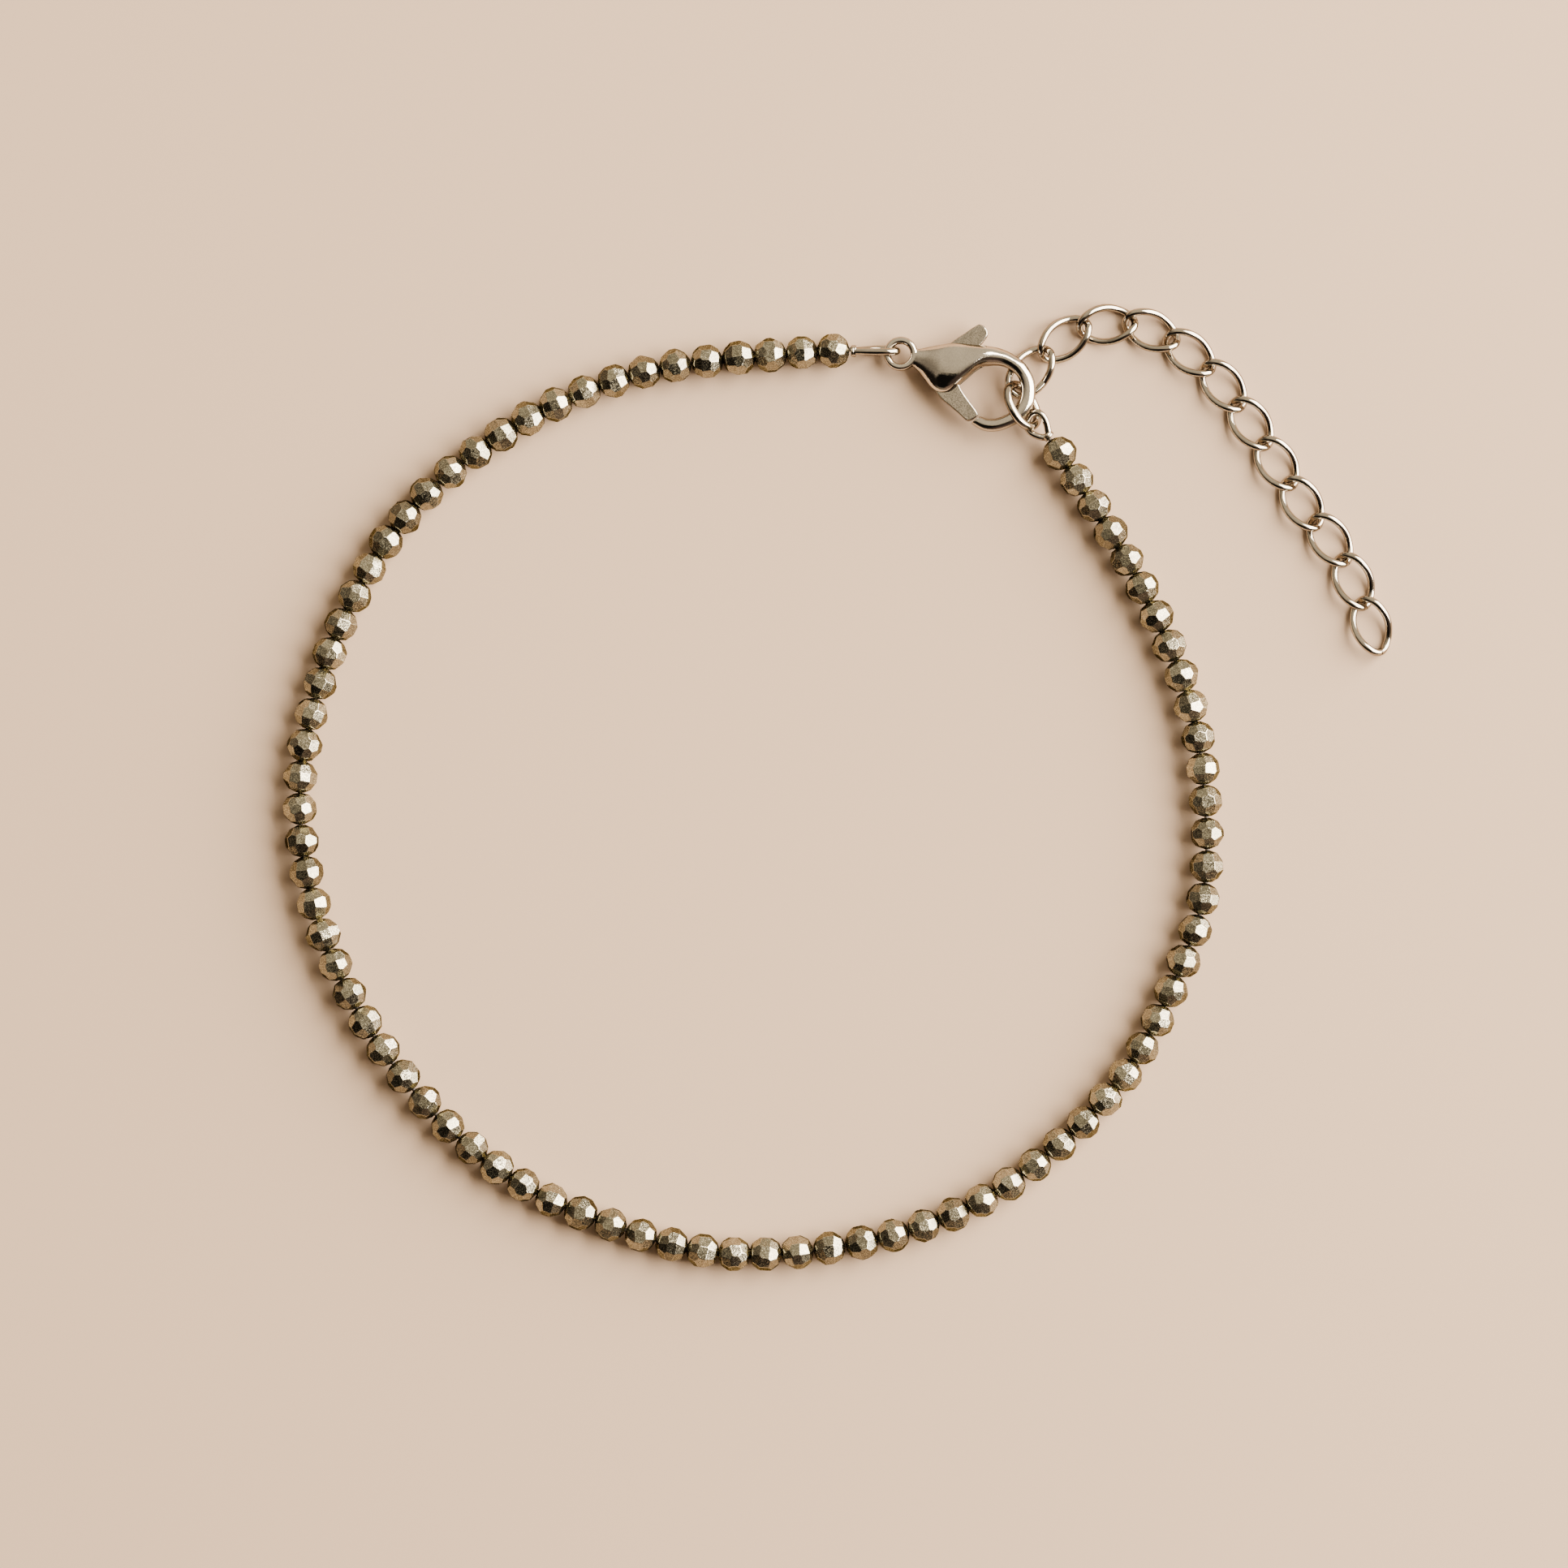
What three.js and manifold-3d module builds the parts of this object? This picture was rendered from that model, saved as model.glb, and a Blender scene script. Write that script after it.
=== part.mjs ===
// A beaded anklet with a lobster clasp and an extender chain, lying on a flat surface. Millimetres, +Z up.
import * as THREE from "three";
import { mergeVertices } from "three/addons/utils/BufferGeometryUtils.js";
import Module from "manifold-3d";

const wasm = await Module();
wasm.setup();

const degree = Math.PI / 180;
const up = new THREE.Vector3(0, 0, 1);
const originShift = [0.03, 0.1, 0]; // puts the origin under the middle of the whole outline

// Beads
const beadFlat = 1.38; // from a bead's axis to the facets around its middle
const beadFacets = 8;
const beadHoleFlat = 0.62; // the same, at the flat around the hole
const beadBand = beadFlat * Math.tan(Math.PI / beadFacets); // half the length of the middle facets
const beadsPerStrand = [11, 10, 10, 10, 10, 10, 10, 11];
const beadCount = beadsPerStrand.reduce((sum, beads) => sum + beads, 0);
const strandGap = 0.3;

// The thread, seen from above, at every third bead from the clasp's end to the jump ring's end
const threadPoints = [
  [-0.4, 36.4], [-8.3, 35.8], [-16.2, 34.6], [-23.6, 31.9], [-30.3, 27.9], [-36.2, 22.5], [-40.4, 15.9],
  [-43.3, 8.6], [-44.9, 0.8], [-44.4, -7.2], [-42.0, -14.9], [-38.0, -22.0], [-32.6, -28.4], [-26.3, -33.3],
  [-19.0, -36.6], [-11.3, -38.8], [-3.4, -38.9], [4.6, -37.5], [12.0, -34.6], [18.5, -29.9], [24.0, -24.1],
  [27.8, -17.1], [30.5, -9.4], [30.7, -1.2], [29.5, 6.7], [26.6, 14.2], [22.8, 21.2], [18.5, 27.8],
];

// Clasp, in its own frame: u from the eye to the hook, v towards the thumb tab, z through its thickness
const claspAt = [5.24, 36.14, 1.3]; // the eye's middle
const claspTurn = -24.2 * degree;
const claspLift = 4 * degree; // the hook's end lies higher, over the ring and the first link
const eyeOuter = 1.4;
const eyeInner = 0.85;
const eyeHalf = 0.46;
const eyeChamfer = 0.18;
const pinAt = [4.2, 1.2];
const pinRadius = 0.4;
const pinHalf = 1.1;
const leverHole = 0.52;
const leverThickness = 0.8;
const leverBevel = 0.12;
const slotHalf = 0.6;
const sectionSides = 14;

// Inner edge, outer edge, half thickness and squareness of the body, from the eye to the hook's tip
const bodySections = [
  { inner: [1.2, -0.45], outer: [0.95, 0.8], half: 0.42, square: 2.4 },
  { inner: [2.08, -0.82], outer: [1.71, 1.33], half: 0.72, square: 2.4 },
  { inner: [2.88, -1.28], outer: [2.83, 2.16], half: 1.15, square: 2.6 },
  { inner: [3.54, -1.58], outer: [3.42, 2.5], half: 1.38, square: 2.8 },
  { inner: [4.2, -1.69], outer: [4.1, 2.84], half: 1.45, square: 2.8 },
  { inner: [5.02, -1.4], outer: [5.2, 3.24], half: 1.45, square: 2.8 },
  { inner: [5.7, -0.2], outer: [5.96, 3.49], half: 1.36, square: 2.7 },
  { inner: [6.42, 1.31], outer: [6.62, 3.68], half: 1.16, square: 2.5 },
  { inner: [7.19, 2.07], outer: [7.3, 3.77], half: 0.95, square: 2.3 },
  { inner: [8.3, 2.5], outer: [8.4, 3.79], half: 0.74, square: 2.1 },
  { inner: [9.5, 2.31], outer: [9.9, 3.43], half: 0.62, square: 2 },
  { inner: [10.3, 1.57], outer: [11.2, 2.31], half: 0.58, square: 2 },
  { inner: [10.55, 0.45], outer: [11.84, 0.6], half: 0.55, square: 2 },
  { inner: [10.27, -0.8], outer: [11.46, -0.9], half: 0.55, square: 2 },
  { inner: [9.58, -1.59], outer: [10.2, -2.28], half: 0.56, square: 2 },
  { inner: [8.8, -1.96], outer: [8.95, -2.84], half: 0.56, square: 2 },
  { inner: [8.07, -2.04], outer: [7.56, -2.72], half: 0.5, square: 2.2 },
];

// Outline of the space that the lever moves in, inside the body
const slotOutline = [[2.25, -2.6], [7.1, -2.6], [6.62, 1.0], [6.15, 4.4], [2.35, 4.4]];

// Outline of the lever: the gate, its tip beside the hook's tip, the thumb tab, and round the pin
const leverOutline = [
  [3.4, -0.5], [3.95, -1.5], [4.65, -1.9], [5.5, -2.12], [6.4, -2.38], [7.38, -2.6], [7.84, -1.95],
  [7.7, -1.66], [6.5, -1.06], [5.55, -0.45], [5.2, 0.5], [5.3, 1.6], [5.82, 3.4], [6.01, 4.2], [5.9, 4.6],
  [5.58, 4.85], [5.2, 4.92], [4.87, 4.76], [4.3, 3.87], [3.7, 2.9], [3.15, 1.8], [3.05, 0.8],
];

// Jump ring: an oval lying over the hook's end, its lower left side up
const ringAt = [15.51, 31.79, 1.71];
const ringHeading = -60.6 * degree;
const ringDip = 3.4 * degree;
const ringRoll = -53 * degree;
const ringLength = 3.8; // across the wire's middle, as the width
const ringWidth = 3.32;
const ringWire = 0.7;
const ringSeam = 0.04;

// Folded wire loops at the thread's ends
const clampLoopWire = 0.6;
const clampLoop = [
  [1.3, 36.36, 1.5], [2.3, 36.3, 1.86], [3.2, 36.27, 2.08], [4.05, 36.27, 2.14], [4.72, 36.3, 1.86],
  [4.93, 36.4, 1.24], [4.7, 36.52, 0.62], [4.02, 36.6, 0.32], [3.2, 36.6, 0.38], [2.3, 36.5, 0.84],
  [1.3, 36.38, 1.22],
];
const farLoopWire = 0.56;
const farLoop = [
  [17.5, 29.25, 1.36], [17.1, 29.16, 1.4], [16.6, 29.28, 1.42], [16.1, 29.56, 1.36], [15.8, 30.05, 1.3],
  [15.84, 30.65, 1.34], [16.12, 31.1, 1.46], [16.6, 31.26, 1.58], [17.08, 30.95, 1.62], [17.42, 30.3, 1.56],
  [17.62, 29.3, 1.4],
];
const crimpRadius = 0.5;
const crimpLength = 0.45;

// Extender chain: twisted oval links, the centre and heading of each from the clasp to the free end
const linkLength = 4.6; // across the wire's middle, as the width
const linkWidth = 2.8;
const linkWire = 0.48;
const linkTwist = 42 * degree;
const linkSeam = 0.05;
const linkRest = 0.77; // height of a lying link's middle
const linkPlaces = [
  { at: [16.11, 34.68], heading: 52 },
  { at: [18.94, 37.43], heading: 37 },
  { at: [22.51, 38.62], heading: 5 },
  { at: [26.21, 38.11], heading: -25 },
  { at: [29.41, 36.24], heading: -39 },
  { at: [32.24, 33.48], heading: -52 },
  { at: [34.54, 30.33], heading: -55 },
  { at: [36.72, 27.0], heading: -57 },
  { at: [38.83, 23.66], heading: -59 },
  { at: [41.17, 20.6], heading: -55 },
  { at: [43.12, 17.15], heading: -67 },
  { at: [44.61, 13.43], heading: -72 },
];
const firstLinkHeight = 0.98; // it leans up to the ring and the hook
const firstLinkPitch = 4.5 * degree;

const stone = new THREE.MeshStandardMaterial({ color: 0x6f634b, roughness: 0.35, metalness: 0.7 });
const plate = new THREE.MeshStandardMaterial({ color: 0xc2b49b, roughness: 0.22, metalness: 1 });

// Closed surface through rings of points that run counter-clockwise about the way from first to last.
function loft(rings) {
  const sides = rings[0].length;
  const index = [];
  for (let ring = 0; ring < rings.length - 1; ring += 1) {
    for (let side = 0; side < sides; side += 1) {
      const a = ring * sides + side;
      const b = ring * sides + ((side + 1) % sides);
      index.push(a, b, b + sides, a, b + sides, a + sides);
    }
  }
  const last = (rings.length - 1) * sides;
  for (let side = 1; side < sides - 1; side += 1) {
    index.push(0, side + 1, side);
    index.push(last, last + side, last + side + 1);
  }
  const geometry = new THREE.BufferGeometry().setFromPoints(rings.flat());
  geometry.setIndex(index);
  geometry.computeVertexNormals();
  return geometry;
}

function solidFrom(geometry) {
  const bare = geometry.clone();
  bare.deleteAttribute("normal");
  bare.deleteAttribute("uv");
  const merged = mergeVertices(bare, 1e-4);
  const vertProperties = merged.attributes.position.array;
  const triVerts = new Uint32Array(merged.index.array);
  return new wasm.Manifold(new wasm.Mesh({ numProp: 3, vertProperties, triVerts }));
}

function geometryFrom(solid) {
  const mesh = solid.getMesh();
  const geometry = new THREE.BufferGeometry();
  geometry.setAttribute("position", new THREE.BufferAttribute(mesh.vertProperties, 3));
  geometry.setIndex(new THREE.BufferAttribute(mesh.triVerts, 1));
  geometry.computeVertexNormals();
  return geometry;
}

// Round wire along a curve.
function wireAlong(curve, diameter, sides, steps) {
  const section = new THREE.Shape();
  for (let side = 0; side < sides; side += 1) {
    const angle = (side / sides) * 2 * Math.PI;
    const x = (diameter / 2) * Math.cos(angle);
    const y = (diameter / 2) * Math.sin(angle);
    if (side === 0) section.moveTo(x, y);
    else section.lineTo(x, y);
  }
  section.closePath();
  return new THREE.ExtrudeGeometry(section, { steps, extrudePath: curve, bevelEnabled: false });
}

// An oval of wire, cut at angle seamAt. The twist turns the far end one way and the near end the other.
class OvalCurve extends THREE.Curve {
  constructor({ length, width, seam, seamAt = 0, farTwist = 0, nearTwist = 0 }) {
    super();
    Object.assign(this, { length, width, seam, seamAt, farTwist, nearTwist });
  }

  getPoint(t, target = new THREE.Vector3()) {
    const gap = this.seam / this.width;
    const angle = this.seamAt + gap + t * (2 * Math.PI - 2 * gap);
    const twist = -Math.cos(angle) * (Math.cos(angle) > 0 ? this.farTwist : this.nearTwist);
    const out = (this.width / 2) * Math.sin(angle);
    const along = (this.length / 2) * Math.cos(angle);
    return target.set(along, out * Math.cos(twist), out * Math.sin(twist));
  }
}

// A ring of facet corners around the thread, with one facet facing straight down.
function facetRing(at, along, flat) {
  const side = new THREE.Vector3().crossVectors(up, along).normalize();
  const radius = flat / Math.cos(Math.PI / beadFacets);
  return Array.from({ length: beadFacets }, (_, corner) => {
    const angle = ((corner + 0.5) / beadFacets) * 2 * Math.PI;
    const point = at.clone().addScaledVector(side, radius * Math.cos(angle));
    return point.addScaledVector(up, radius * Math.sin(angle));
  });
}

// One solid from the first bead to the last. A strand stops short of its neighbour by half the gap.
function strandGeometry(thread, first, last) {
  const end = beadCount - 1;
  const halfPitch = thread.getLength() / end / 2;
  const place = (bead) => thread.getPoint(bead / end);
  const heading = (bead) => thread.getTangent(bead / end);
  const ringBeside = (bead, offset, flat) => {
    const at = place(bead).addScaledVector(heading(bead), offset);
    return facetRing(at, heading(bead), flat);
  };

  const startCut = first === 0 ? 0 : strandGap / 2;
  const endCut = last === end ? 0 : strandGap / 2;
  const rings = [ringBeside(first, startCut - halfPitch, beadHoleFlat + startCut)];
  for (let bead = first; bead <= last; bead += 1) {
    rings.push(ringBeside(bead, -beadBand, beadFlat));
    rings.push(ringBeside(bead, beadBand, beadFlat));
    if (bead < last) rings.push(facetRing(place(bead + 0.5), heading(bead + 0.5), beadHoleFlat));
  }
  rings.push(ringBeside(last, halfPitch - endCut, beadHoleFlat + endCut));
  return loft(rings);
}

function strands() {
  const group = new THREE.Group();
  const corners = threadPoints.map(([x, y]) => new THREE.Vector3(x, y, beadFlat));
  const thread = new THREE.CatmullRomCurve3(corners, false, "catmullrom", 0.5);
  let first = 0;
  beadsPerStrand.forEach((beads, strand) => {
    const mesh = new THREE.Mesh(strandGeometry(thread, first, first + beads - 1), stone);
    mesh.name = `strand_${strand + 1}`;
    group.add(mesh);
    first += beads;
  });
  return group;
}

// A wire loop with its crimp, which closes on both of the wire's ends and turns towards the beads.
function endLoop(name, points, wire) {
  const corners = points.map((point) => new THREE.Vector3(...point));
  const curve = new THREE.CatmullRomCurve3(corners, false, "centripetal");
  const loop = solidFrom(wireAlong(curve, wire, 8, 30));

  const tip = corners[0].clone().add(corners[corners.length - 1]).multiplyScalar(0.5);
  const middle = corners[(corners.length - 1) / 2];
  const away = new THREE.Vector3().subVectors(tip, middle).setZ(0).normalize();
  const crimp = new THREE.CylinderGeometry(crimpRadius, crimpRadius, crimpLength, 10);
  crimp.applyQuaternion(new THREE.Quaternion().setFromUnitVectors(new THREE.Vector3(0, 1, 0), away));
  crimp.translate(tip.x, tip.y, tip.z);
  const mesh = new THREE.Mesh(geometryFrom(loop.add(solidFrom(crimp))), plate);
  mesh.name = name;
  return mesh;
}

// One section of the clasp's body: a rounded box between the inner and the outer edge.
function bodyRing({ inner, outer, half, square }) {
  const from = new THREE.Vector3(...inner, 0);
  const across = new THREE.Vector3(...outer, 0).sub(from).multiplyScalar(0.5);
  const middle = from.clone().add(across);
  const rounded = (value) => Math.sign(value) * Math.abs(value) ** (2 / square);
  return Array.from({ length: sectionSides }, (_, corner) => {
    const angle = ((corner + 0.5) / sectionSides) * 2 * Math.PI;
    const point = middle.clone().addScaledVector(across, rounded(Math.cos(angle)));
    return point.addScaledVector(up, half * rounded(Math.sin(angle)));
  });
}

function outlineShape(points) {
  return new THREE.Shape(points.map(([u, v]) => new THREE.Vector2(u, v)));
}

function claspBody() {
  const body = solidFrom(loft(bodySections.map(bodyRing)));
  const rim = [
    [eyeInner, -eyeHalf + eyeChamfer], [eyeInner + eyeChamfer, -eyeHalf], [eyeOuter - eyeChamfer, -eyeHalf],
    [eyeOuter, -eyeHalf + eyeChamfer], [eyeOuter, eyeHalf - eyeChamfer], [eyeOuter - eyeChamfer, eyeHalf],
    [eyeInner + eyeChamfer, eyeHalf], [eyeInner, eyeHalf - eyeChamfer], [eyeInner, -eyeHalf + eyeChamfer],
  ];
  const eye = new THREE.LatheGeometry(rim.map(([r, z]) => new THREE.Vector2(r, z)), 24);
  eye.rotateX(Math.PI / 2);
  const slotExtent = { depth: 2 * slotHalf, bevelEnabled: false };
  const slot = new THREE.ExtrudeGeometry(outlineShape(slotOutline), slotExtent);
  slot.translate(0, 0, -slotHalf);
  const pin = new THREE.CylinderGeometry(pinRadius, pinRadius, 2 * pinHalf, 12);
  pin.rotateX(Math.PI / 2);
  pin.translate(...pinAt, 0);
  const cast = body.add(solidFrom(eye)).subtract(solidFrom(slot)).add(solidFrom(pin));
  const mesh = new THREE.Mesh(geometryFrom(cast), plate);
  mesh.name = "clasp_body";
  return mesh;
}

function claspLever() {
  const outline = outlineShape(leverOutline);
  const hole = new THREE.Path().absarc(...pinAt, leverHole, 0, 2 * Math.PI, true);
  outline.holes.push(hole);
  const geometry = new THREE.ExtrudeGeometry(outline, {
    depth: leverThickness - 2 * leverBevel,
    curveSegments: 16,
    bevelThickness: leverBevel,
    bevelSize: leverBevel,
    bevelOffset: -leverBevel,
    bevelSegments: 1,
  });
  geometry.translate(0, 0, leverBevel - leverThickness / 2);
  const mesh = new THREE.Mesh(geometry, plate);
  mesh.name = "clasp_lever";
  return mesh;
}

function clasp() {
  const group = new THREE.Group();
  group.add(claspBody(), claspLever());
  group.rotation.order = "ZYX";
  group.rotation.set(0, -claspLift, claspTurn);
  group.position.set(...claspAt);
  return group;
}

function jumpRing() {
  const seamAt = Math.PI / 2;
  const curve = new OvalCurve({ length: ringLength, width: ringWidth, seam: ringSeam, seamAt });
  const mesh = new THREE.Mesh(wireAlong(curve, ringWire, 8, 28), plate);
  mesh.name = "jump_ring";
  mesh.rotation.order = "ZYX";
  mesh.rotation.set(ringRoll, ringDip, ringHeading);
  mesh.position.set(...ringAt);
  return mesh;
}

function chain() {
  const group = new THREE.Group();
  linkPlaces.forEach(({ at, heading }, link) => {
    const isFirst = link === 0;
    const curve = new OvalCurve({
      length: linkLength,
      width: linkWidth,
      seam: linkSeam,
      farTwist: linkTwist,
      nearTwist: isFirst ? 0 : linkTwist,
    });
    const mesh = new THREE.Mesh(wireAlong(curve, linkWire, 6, 24), plate);
    mesh.name = `chain_link_${String(link + 1).padStart(2, "0")}`;
    mesh.rotation.order = "ZYX";
    mesh.rotation.set(0, isFirst ? firstLinkPitch : 0, heading * degree);
    mesh.position.set(...at, isFirst ? firstLinkHeight : linkRest);
    group.add(mesh);
  });
  return group;
}

const anklet = new THREE.Group();
anklet.add(strands(), clasp(), jumpRing(), chain());
anklet.add(endLoop("clamp_loop", clampLoop, clampLoopWire));
anklet.add(endLoop("far_loop", farLoop, farLoopWire));
anklet.position.set(...originShift);

export default anklet;
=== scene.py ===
import math
import random

import bmesh
import bpy
from mathutils import Matrix, Vector


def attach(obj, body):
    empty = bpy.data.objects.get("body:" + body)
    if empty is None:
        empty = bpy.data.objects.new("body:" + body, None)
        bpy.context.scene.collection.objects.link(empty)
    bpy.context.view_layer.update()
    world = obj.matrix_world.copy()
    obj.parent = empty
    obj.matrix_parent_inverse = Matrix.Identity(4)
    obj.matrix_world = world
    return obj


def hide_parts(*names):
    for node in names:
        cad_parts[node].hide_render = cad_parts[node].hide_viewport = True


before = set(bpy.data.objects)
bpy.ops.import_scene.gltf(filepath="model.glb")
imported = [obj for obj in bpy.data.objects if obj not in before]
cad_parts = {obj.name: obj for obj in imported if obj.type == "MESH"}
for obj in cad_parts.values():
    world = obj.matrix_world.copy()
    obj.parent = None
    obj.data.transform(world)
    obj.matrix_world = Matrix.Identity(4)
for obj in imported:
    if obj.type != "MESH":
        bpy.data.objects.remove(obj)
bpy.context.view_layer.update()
print("frame loaded")

# everything below is drawn in millimetres and made metres when a piece is finished
toMetres = Matrix.Scale(0.001, 4)
originShift = Vector((0.03, 0.1, 0))  # the frame's origin lies under the middle of the outline
sharpFrom = math.radians(50)  # wire ends stay crisp and round wire stays smooth


def splineAt(points, t):
    # uniform Catmull-Rom through rows of numbers, straight on past both ends
    last = len(points) - 1
    i = min(max(int(math.floor(t)), 0), last - 1)
    f = t - i
    b, c = points[i], points[i + 1]
    a = points[i - 1] if i > 0 else [2 * p - q for p, q in zip(b, c)]
    d = points[i + 2] if i + 2 <= last else [2 * q - p for p, q in zip(b, c)]
    return [
        0.5 * (2 * q + (r - p) * f + (2 * p - 5 * q + 4 * r - s) * f * f + (3 * q - p - 3 * r + s) * f ** 3)
        for p, q, r, s in zip(a, b, c, d)
    ]


def addPiece(name, mesh):
    piece = bpy.data.objects.new(name, mesh)
    bpy.context.scene.collection.objects.link(piece)
    return piece


def meshFrom(name, points, faces):
    mesh = bpy.data.meshes.new(name)
    mesh.from_pydata([tuple(p) for p in points], [], faces)
    mesh.update()
    return mesh


def lineObject(name, points):
    # a curve with straight steps, for the trees to work on
    curve = bpy.data.curves.new(name, "CURVE")
    curve.dimensions = "3D"
    line = curve.splines.new("POLY")
    line.points.add(len(points) - 1)
    for spot, p in zip(line.points, points):
        spot.co = (p[0], p[1], p[2], 1)
    return addPiece(name, curve)


def loftMesh(name, rings):
    # a closed skin over rings of points, capped at both ends
    sides = len(rings[0])
    faces = []
    for ring in range(len(rings) - 1):
        for k in range(sides):
            a, b = ring * sides + k, ring * sides + (k + 1) % sides
            faces.append((a, b, b + sides, a + sides))
    faces.append(tuple(range(sides - 1, -1, -1)))
    faces.append(tuple((len(rings) - 1) * sides + k for k in range(sides)))
    return meshFrom(name, [p for ring in rings for p in ring], faces)


def circle(middle, radius, sides):
    angles = [k / sides * 2 * math.pi for k in range(sides)]
    return [(middle[0] + radius * math.cos(angle), middle[1] + radius * math.sin(angle)) for angle in angles]


def straightTurn(turn):
    # degrees about x, then y, then z
    x, y, z = (math.radians(angle) for angle in turn)
    return Matrix.Rotation(z, 4, "Z") @ Matrix.Rotation(y, 4, "Y") @ Matrix.Rotation(x, 4, "X")


def evaluatedMesh(piece, name):
    # the finished mesh of a piece with all its modifiers worked in
    graph = bpy.context.evaluated_depsgraph_get()
    worked = piece.evaluated_get(graph)
    mesh = bpy.data.meshes.new_from_object(worked, preserve_all_data_layers=True, depsgraph=graph)
    mesh.name = name
    return mesh


def discard(*pieces):
    for piece in pieces:
        bpy.data.objects.remove(piece)


def smoothWire(mesh):
    mesh.shade_smooth()
    mesh.set_sharp_from_angle(angle=sharpFrom)


def finishPiece(name, mesh, place, body, slot, *nodes):
    # put the mesh in its place in metres and hand it to the frame
    mesh.transform(toMetres @ Matrix.Translation(originShift) @ place)
    mesh.update()
    piece = addPiece(name, mesh)
    if nodes:
        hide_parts(*nodes)
    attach(piece, body)
    return piece


# shader groups that several materials share
def newShaderGroup(name, inputs, outputs):
    group = bpy.data.node_groups.new(name, "ShaderNodeTree")
    for label, value in inputs:
        group.interface.new_socket(label, in_out="INPUT", socket_type="NodeSocketFloat").default_value = value
    for label, kind in outputs:
        group.interface.new_socket(label, in_out="OUTPUT", socket_type=kind)
    enter = group.nodes.new("NodeGroupInput")
    leave = group.nodes.new("NodeGroupOutput")
    enter.location, leave.location = (-900, 0), (700, 0)
    return group, enter, leave


def addNode(tree, kind, spot, **values):
    node = tree.nodes.new(kind)
    node.location = spot
    for key, value in values.items():
        setattr(node, key, value)
    return node


def buildGrainGroup():
    # crystal grain: a random value and a slightly turned normal for each small cell, and soft clouds over it
    group, enter, leave = newShaderGroup(
        "crystalGrain", [("Cell Size", 0.1), ("Cloud Size", 1.0), ("Glint", 0.1)],
        [("Cell", "NodeSocketFloat"), ("Cloud", "NodeSocketFloat"), ("Normal", "NodeSocketVector")],
    )
    link = group.links.new
    where = addNode(group, "ShaderNodeTexCoord", (-900, 300))
    scales = []
    for label, y in (("Cell Size", 100), ("Cloud Size", -100)):
        scale = addNode(group, "ShaderNodeMath", (-700, y), operation="DIVIDE")
        scale.inputs[0].default_value = 1000  # a size in millimetres to cells in a metre
        link(enter.outputs[label], scale.inputs[1])
        scales.append(scale.outputs[0])
    cells = addNode(group, "ShaderNodeTexVoronoi", (-450, 200), feature="F1")
    clouds = addNode(group, "ShaderNodeTexNoise", (-450, -150))
    clouds.inputs["Detail"].default_value = 3
    link(where.outputs["Object"], cells.inputs["Vector"])
    link(where.outputs["Object"], clouds.inputs["Vector"])
    link(scales[0], cells.inputs["Scale"])
    link(scales[1], clouds.inputs["Scale"])
    shade = addNode(group, "ShaderNodeSeparateColor", (-200, 300))
    link(cells.outputs["Color"], shade.inputs[0])
    middle = addNode(group, "ShaderNodeVectorMath", (-200, 100), operation="SUBTRACT")
    middle.inputs[1].default_value = (0.5, 0.5, 0.5)
    turn = addNode(group, "ShaderNodeVectorMath", (0, 100), operation="SCALE")
    surface = addNode(group, "ShaderNodeNewGeometry", (0, -100))
    turned = addNode(group, "ShaderNodeVectorMath", (200, 0), operation="ADD")
    unit = addNode(group, "ShaderNodeVectorMath", (400, 0), operation="NORMALIZE")
    link(cells.outputs["Color"], middle.inputs[0])
    link(middle.outputs[0], turn.inputs[0])
    link(enter.outputs["Glint"], turn.inputs["Scale"])
    link(turn.outputs[0], turned.inputs[0])
    link(surface.outputs["Normal"], turned.inputs[1])
    link(turned.outputs[0], unit.inputs[0])
    link(shade.outputs[0], leave.inputs["Cell"])
    link(clouds.outputs["Fac"], leave.inputs["Cloud"])
    link(unit.outputs[0], leave.inputs["Normal"])
    return group


def newMaterial(name):
    material = bpy.data.materials.new(name)
    material.use_nodes = True
    tree = material.node_tree
    return material, tree, tree.nodes["Principled BSDF"]


def ramp(tree, spot, stops):
    node = addNode(tree, "ShaderNodeValToRGB", spot)
    marks = node.color_ramp.elements
    while len(marks) < len(stops):
        marks.new(0.5)
    for mark, (at, color) in zip(marks, stops):
        mark.position = at
        mark.color = color
    return node


def mathNode(tree, spot, operation, *values):
    node = addNode(tree, "ShaderNodeMath", spot, operation=operation)
    for socket, value in zip(node.inputs, values):
        if isinstance(value, (int, float)):
            socket.default_value = value
        else:
            tree.links.new(value, socket)
    return node.outputs[0]


def mixColor(tree, spot, amount, a, b, blend="MIX"):
    node = addNode(tree, "ShaderNodeMix", spot, data_type="RGBA", blend_type=blend)
    for socket, value in zip((node.inputs[0], node.inputs[6], node.inputs[7]), (amount, a, b)):
        if isinstance(value, (int, float, tuple)):
            socket.default_value = value
        else:
            tree.links.new(value, socket)
    return node.outputs[2]


def groupNode(tree, group, spot, values):
    node = addNode(tree, "ShaderNodeGroup", spot, node_tree=group)
    for label, value in values.items():
        node.inputs[label].default_value = value
    return node


# geometry trees
def newTree(name, inputs):
    tree = bpy.data.node_groups.new(name, "GeometryNodeTree")
    tree.interface.new_socket("Geometry", in_out="INPUT", socket_type="NodeSocketGeometry")
    for label, kind in inputs:
        tree.interface.new_socket(label, in_out="INPUT", socket_type=kind)
    tree.interface.new_socket("Geometry", in_out="OUTPUT", socket_type="NodeSocketGeometry")
    return tree, tree.nodes.new("NodeGroupInput"), tree.nodes.new("NodeGroupOutput")


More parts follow.
